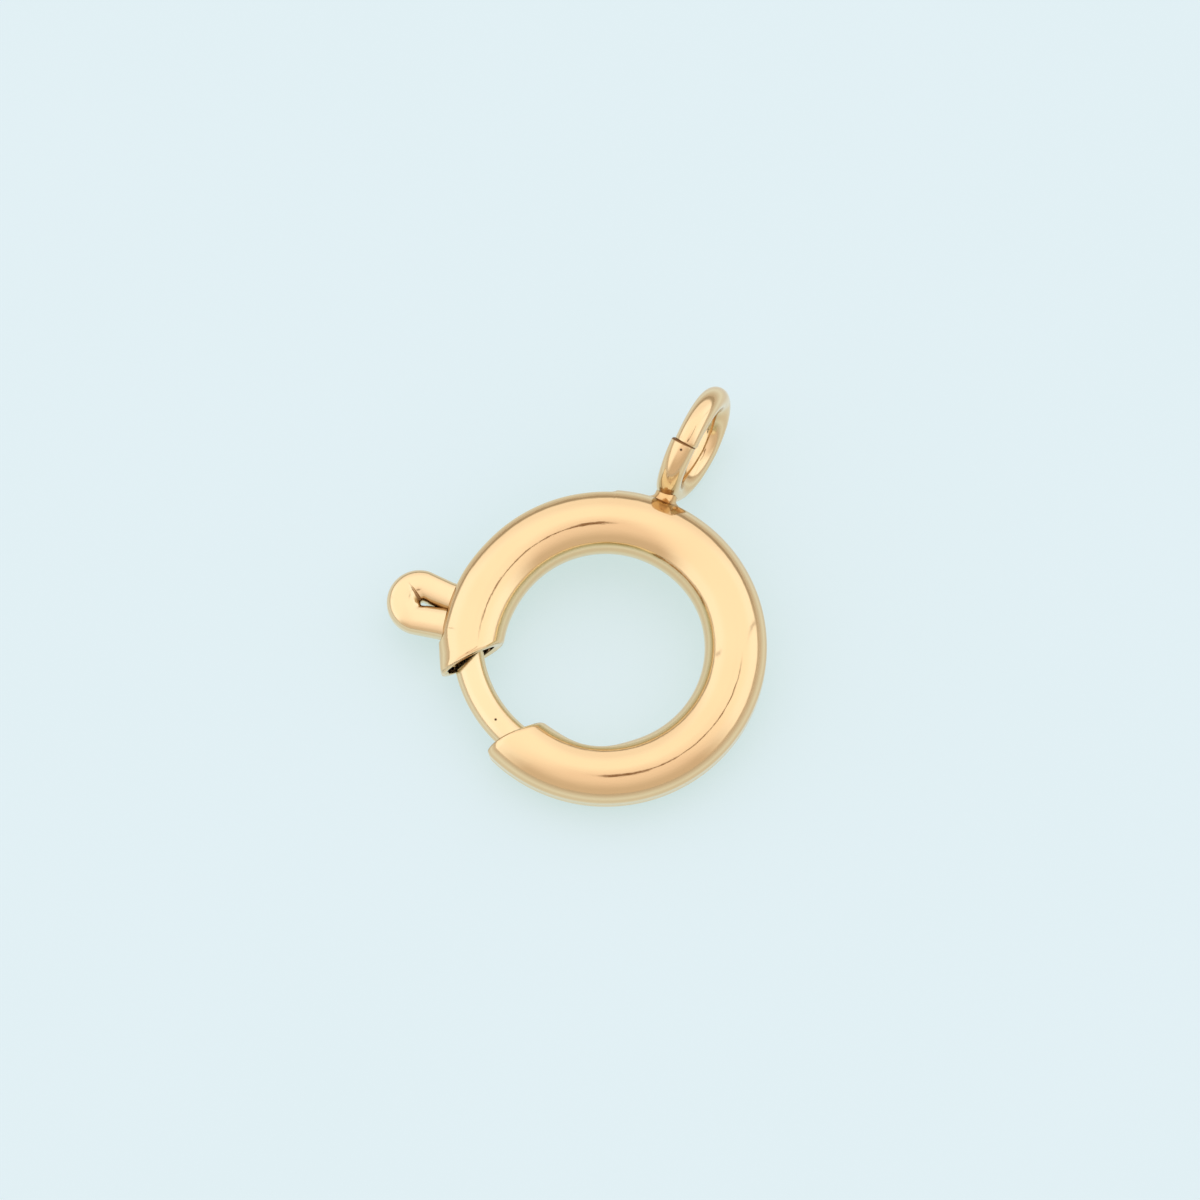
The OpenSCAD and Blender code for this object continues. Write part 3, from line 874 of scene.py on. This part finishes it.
def make_table():
    mesh = bpy.data.meshes.new("table")
    corners = [(-1, -1), (1, -1), (1, 1), (-1, 1)]
    mesh.from_pydata([(x * TABLE_HALF, y * TABLE_HALF, table_z) for x, y in corners], [], [(0, 1, 2, 3)])
    table = bpy.data.objects.new("table", mesh)
    bpy.context.scene.collection.objects.link(table)
    material = bpy.data.materials.new("pale blue sheet")
    material.use_nodes = True
    nodes, links, add = material.node_tree.nodes, material.node_tree.links, node_tools(material.node_tree)
    sheet = nodes["Principled BSDF"].inputs
    sheet["Roughness"].default_value = 0.5
    sheet["Emission Strength"].default_value = 1.0
    cloud = add.noise(nodes.new("ShaderNodeTexCoord").outputs["Object"], CLOUDS_PER_METRE)
    links.new(add.mix(cloud, SHEET_COLOUR, SHEET_CLOUDS), sheet["Base Color"])
    slant = nodes.new("ShaderNodeLayerWeight")
    slant.inputs["Blend"].default_value = 0.5
    # The glow dims aslant and turns brown at a flat angle: painted shade of the sheet near the clasp
    glow_and_shade = nodes.new("ShaderNodeValToRGB")
    stops = glow_and_shade.color_ramp.elements
    stops[0].position, stops[0].color = 0.1, SHEET_GLOW
    stops[1].position, stops[1].color = 0.93, SHEET_PAINTED_SHADE_FLAT
    for position, colour in ((0.25, SHEET_PAINTED_SHADE_ASLANT), (0.38, SHEET_PAINTED_SHADE_ASLANT), (0.55, SHEET_GLOW)):
        stops.new(position).color = colour
    links.new(slant.outputs["Facing"], glow_and_shade.inputs["Fac"])
    links.new(glow_and_shade.outputs["Color"], sheet["Emission Color"])
    mesh.materials.append(material)
    return table


make_table()


# The light is soft and comes from all round, as in a light tent of white sheets. The sheet at the back
# reaches over the top, and one hangs on each side. Thin dark seams are left where they meet and round
# the lens. The open front lets in less light, warmer, and so does the gap under the sheets' lower edge,
# least of all at the back.
SHEET_LIGHT, SIDE_LIGHT, BACK_LIGHT = (1.14, 1.12, 1.04, 1), (1.16, 1.18, 1.16, 1), (1.02, 0.98, 0.92, 1)
FRONT_LIGHT_HIGH, FRONT_LIGHT_LOW = (0.98, 0.87, 0.79, 1), (0.67, 0.59, 0.50, 1)
LOW_LIGHT, LOW_BACK_LIGHT, SEAM_DARK = (0.60, 0.56, 0.50, 1), (0.42, 0.38, 0.32, 1), (0.28, 0.18, 0.11, 1)
TENT_TURN = 21.75
# A FADE is where a change starts and ends. Seams and front edges run outwards to one side, by the slope
# and start they have on a level sheet one unit up, where the hem is an arc of a circle and the lens a spot
RIGHT_SEAM, RIGHT_SEAM_HALF, RIGHT_SEAM_FADE = (0.378, -0.084), 0.022, (0.5, 1.8)
LEFT_SEAM, LEFT_SEAM_HALF, LEFT_SEAM_FADE = (0.363, -0.041), 0.02, (-1.0, -2.2)
SEAM_SHOWS, SEAM_CORE, SEAM_LOW_FADE = 0.55, 0.35, (0.05, 0.3)
RIGHT_EDGE, RIGHT_EDGE_FADE = (-0.626, -0.034), (0.24, -0.24)
LEFT_EDGE, LEFT_EDGE_FADE = (-0.88, -0.05), (0.2, -0.2)
HEM_MIDDLE, HEM_R, HEM_FADE = (-0.05, 0.05), 0.465, (0.06, 0.02)
HEM_BACK_FADE, HEM_LEFT_FADE = (0.14, 0.0), (-0.02, 0.08)
LENS_MIDDLE, LENS_FADE = (0.035, -0.38), (0.13, 0.06)
FRONT_FADE, SIDE_FADE, BACK_FADE, LOW_BACK_FADE = (0.95, 0.25), (0.85, 0.5), (0.5, 0.85), (0.2, 0.7)
# The sheets end higher above the table at the back than at the front
LOWER_EDGE, LOWER_EDGE_RIGHT, LOWER_EDGE_BACK, LOWER_EDGE_FADE = 0.12, 0.03, 0.11, (0.06, -0.06)


def light_tent():
    world = bpy.data.worlds.new("light tent")
    bpy.context.scene.world = world
    world.use_nodes = True
    nodes, links, add = world.node_tree.nodes, world.node_tree.links, node_tools(world.node_tree)
    maths, shade = add.maths, add.mix
    nodes.clear()

    def step(value, fade):
        return add.spread(value, *fade, way="SMOOTHSTEP")

    turned = nodes.new("ShaderNodeVectorRotate")
    turned.rotation_type = "Z_AXIS"
    turned.inputs["Angle"].default_value = -math.radians(TENT_TURN)
    links.new(nodes.new("ShaderNodeTexCoord").outputs["Generated"], turned.inputs["Vector"])
    axes = nodes.new("ShaderNodeSeparateXYZ")
    links.new(turned.outputs["Vector"], axes.inputs["Vector"])
    right, back, up = axes.outputs["X"], axes.outputs["Y"], axes.outputs["Z"]
    # Where the direction meets the level sheet, kept finite for level directions
    least_up = 0.02
    high = maths("MAXIMUM", up, least_up)
    x, y = maths("DIVIDE", right, high), maths("DIVIDE", back, high)

    def above(line, side):
        """How far the direction is above a line that runs outwards to the side, as an angle's sine."""
        slope, start = line
        across = maths("MULTIPLY_ADD", right, -side * slope, maths("MULTIPLY_ADD", up, -start, back))
        return maths("DIVIDE", across, math.hypot(1, slope, start))

    right_front, left_front = above(RIGHT_EDGE, 1), above(LEFT_EDGE, -1)
    front = maths("MINIMUM", step(right_front, RIGHT_EDGE_FADE), step(left_front, LEFT_EDGE_FADE))
    front_light = shade(step(up, FRONT_FADE), FRONT_LIGHT_HIGH, FRONT_LIGHT_LOW)
    back_edge = maths("MULTIPLY_ADD", back, LOWER_EDGE_BACK, LOWER_EDGE)
    over_edge = maths("SUBTRACT", up, maths("MULTIPLY_ADD", right, LOWER_EDGE_RIGHT, back_edge))
    sheets = shade(step(back, BACK_FADE), shade(step(up, SIDE_FADE), SHEET_LIGHT, SIDE_LIGHT), BACK_LIGHT)
    low = shade(step(back, LOW_BACK_FADE), LOW_LIGHT, LOW_BACK_LIGHT)
    sky = shade(front, shade(step(over_edge, LOWER_EDGE_FADE), sheets, low), front_light)

    def seam(line, side, half, fade):
        distance = maths("ABSOLUTE", above(line, side))
        return maths("MULTIPLY", step(distance, (half, half * SEAM_CORE)), step(x, fade))

    right_seam = seam(RIGHT_SEAM, 1, RIGHT_SEAM_HALF, RIGHT_SEAM_FADE)
    left_seam = seam(LEFT_SEAM, -1, LEFT_SEAM_HALF, LEFT_SEAM_FADE)
    shown = maths("MULTIPLY", step(up, SEAM_LOW_FADE), SEAM_SHOWS)
    seams = maths("MULTIPLY", maths("MAXIMUM", right_seam, left_seam), shown)

    def distance_to(middle):
        across, along = maths("SUBTRACT", x, middle[0]), maths("SUBTRACT", y, middle[1])
        return maths("SQRT", maths("ADD", maths("POWER", across, 2), maths("POWER", along, 2)))

    circle = step(maths("ABSOLUTE", maths("SUBTRACT", distance_to(HEM_MIDDLE), HEM_R)), HEM_FADE)
    hem = maths("MULTIPLY", circle, maths("MULTIPLY", step(y, HEM_BACK_FADE), step(x, HEM_LEFT_FADE)))
    lens = step(distance_to(LENS_MIDDLE), LENS_FADE)
    dark = maths("MAXIMUM", maths("MAXIMUM", seams, hem), lens)
    background = nodes.new("ShaderNodeBackground")
    links.new(shade(dark, sky, SEAM_DARK), background.inputs["Color"])
    output = nodes.new("ShaderNodeOutputWorld")
    links.new(background.outputs["Background"], output.inputs["Surface"])


light_tent()
bpy.context.scene.view_settings.view_transform = "Standard"


# The camera looks down on the clasp through a long lens, from 18 degrees off straight above.
LENS_DISTANCE = 0.4
FRAME_PIXELS, PIXELS_PER_MM = 1200, 27.05
RING_MIDDLE_PIXEL = (605.7, 647.8)
FRAME_WIDTH = FRAME_PIXELS / PIXELS_PER_MM * MM
SENSOR = 36.0
VIEW_TILT, VIEW_TURN = 13.6, 21.2


def place_camera():
    """Sets the camera so that the ring's own plane is seen tilted and turned as it is in the picture."""
    c, s = cosd(VIEW_TURN), sind(VIEW_TURN)
    right = np.array([c, s, 0])
    up = np.array([-s * cosd(VIEW_TILT), c * cosd(VIEW_TILT), sind(VIEW_TILT)])
    back = np.cross(right, up)
    across, down = (FRAME_PIXELS / 2 - np.array(RING_MIDDLE_PIXEL)) / PIXELS_PER_MM
    aim = across * right - down * up
    right, up, back, aim = lay_down([right, up, back, aim]) / [[MM], [MM], [MM], [1]]
    camera = bpy.data.objects.new("camera", bpy.data.cameras.new("camera"))
    bpy.context.scene.collection.objects.link(camera)
    camera.data.sensor_width = SENSOR
    camera.data.lens = SENSOR * LENS_DISTANCE / FRAME_WIDTH
    camera.data.clip_start, camera.data.clip_end = 0.01, 10
    turned = Matrix((right, up, back)).transposed().to_4x4()
    camera.matrix_world = Matrix.Translation(aim + back * LENS_DISTANCE) @ turned
    bpy.context.scene.camera = camera


place_camera()
